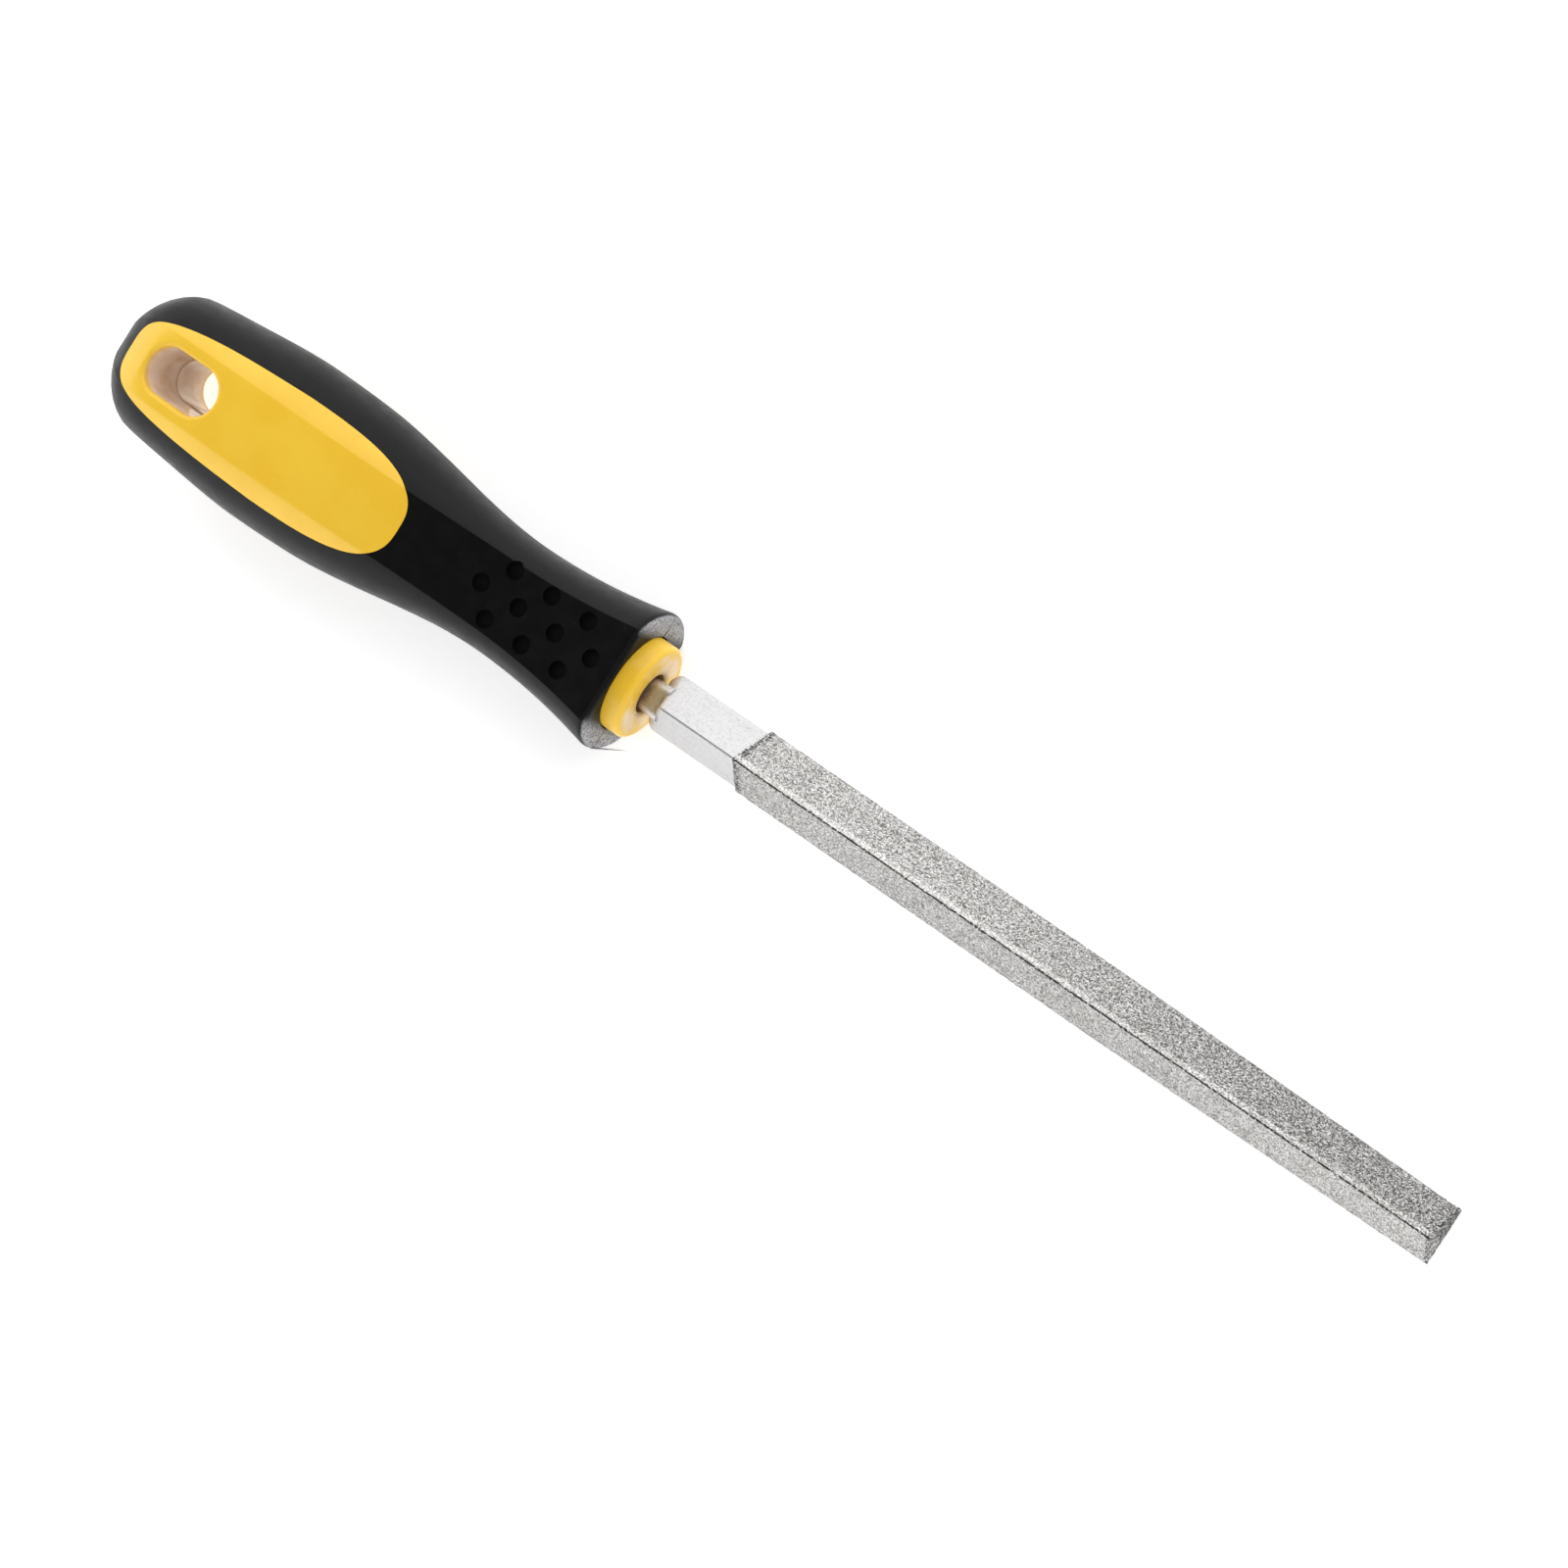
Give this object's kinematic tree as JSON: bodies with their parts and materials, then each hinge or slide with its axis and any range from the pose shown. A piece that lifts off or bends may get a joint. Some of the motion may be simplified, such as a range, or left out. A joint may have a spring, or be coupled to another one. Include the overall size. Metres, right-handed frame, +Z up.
{
  "type": "triangular diamond hand file",
  "caption": "Hand file with a triangular diamond-coated blade and a two-colour moulded handle with grip pads, raised dots and a hang hole.",
  "frame": {"origin": "centre of the whole file's bounding box, on the axis of blade and handle", "axes": "+X along the axis towards the blade's tip, +Z up out of the upper grip pad and the blade's top edge, +Y across to the left"},
  "size_m": [0.2594, 0.0288, 0.026],
  "materials": {
    "plated_steel": "bright nickel-plated, satin",
    "diamond_grit": "grey nickel bond full of diamond grit, rough and sparkling",
    "yellow_plastic": "smooth yellow injection-moulded plastic, soft gloss",
    "black_plastic": "black moulded grip plastic, satin"
  },
  "bodies": {
    "root": {"file_blank": "plated_steel", "diamond_coating": "diamond_grit", "handle_core": "yellow_plastic", "grip_shell_upper": "black_plastic", "grip_shell_lower": "black_plastic"}
  },
  "joints": []
}
